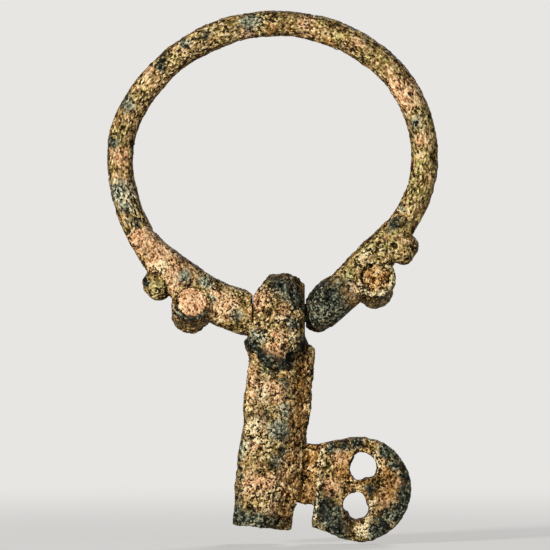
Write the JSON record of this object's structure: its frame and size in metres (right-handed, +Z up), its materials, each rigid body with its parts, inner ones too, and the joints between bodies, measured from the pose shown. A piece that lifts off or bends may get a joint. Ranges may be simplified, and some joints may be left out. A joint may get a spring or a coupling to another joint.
{
  "type": "folding ring key",
  "caption": "Folding finger-ring key in bronze: a round-bar hoop with beaded shoulders carries a hinged key that swings on a pin, with a squared shank and a pierced bit.",
  "frame": {"origin": "middle of the finger hole, halfway through the hoop's thickness", "axes": "+Z up through the hoop's crown with the key hanging below, +X to the bit's side, -Y to the front that shows the cups of the collets"},
  "size_m": [0.025, 0.0054, 0.0401],
  "materials": {
    "hoop_bronze": "pitted patina",
    "shoulder_bronze": "pitted patina",
    "bead_bronze": "pitted patina",
    "collet_bronze": "pitted patina",
    "inlay_paste": "weathered matt",
    "pin_bronze": "dark patina",
    "knuckle_bronze": "dark pitted patina",
    "shank_bronze": "pitted patina",
    "bit_bronze": "pitted patina"
  },
  "bodies": {
    "hoop": {"hoop_bar": "hoop_bronze", "left_shoulder": "shoulder_bronze", "right_shoulder": "shoulder_bronze", "left_bead": "bead_bronze", "right_bead": "bead_bronze", "right_pellet": "bead_bronze", "left_collet": "collet_bronze", "right_collet": "collet_bronze", "left_inlay": "inlay_paste", "right_inlay": "inlay_paste", "hinge_pin": "pin_bronze"},
    "key": {"knuckle": "knuckle_bronze", "shank": "shank_bronze", "bit": "bit_bronze"}
  },
  "joints": [
    {"name": "key_hinge", "type": "hinge", "parent": "hoop", "child": "key", "pos_m": [0.0005, 0, -0.01185], "axis": [1, 0, 0], "range_deg": [-165, 165]}
  ]
}
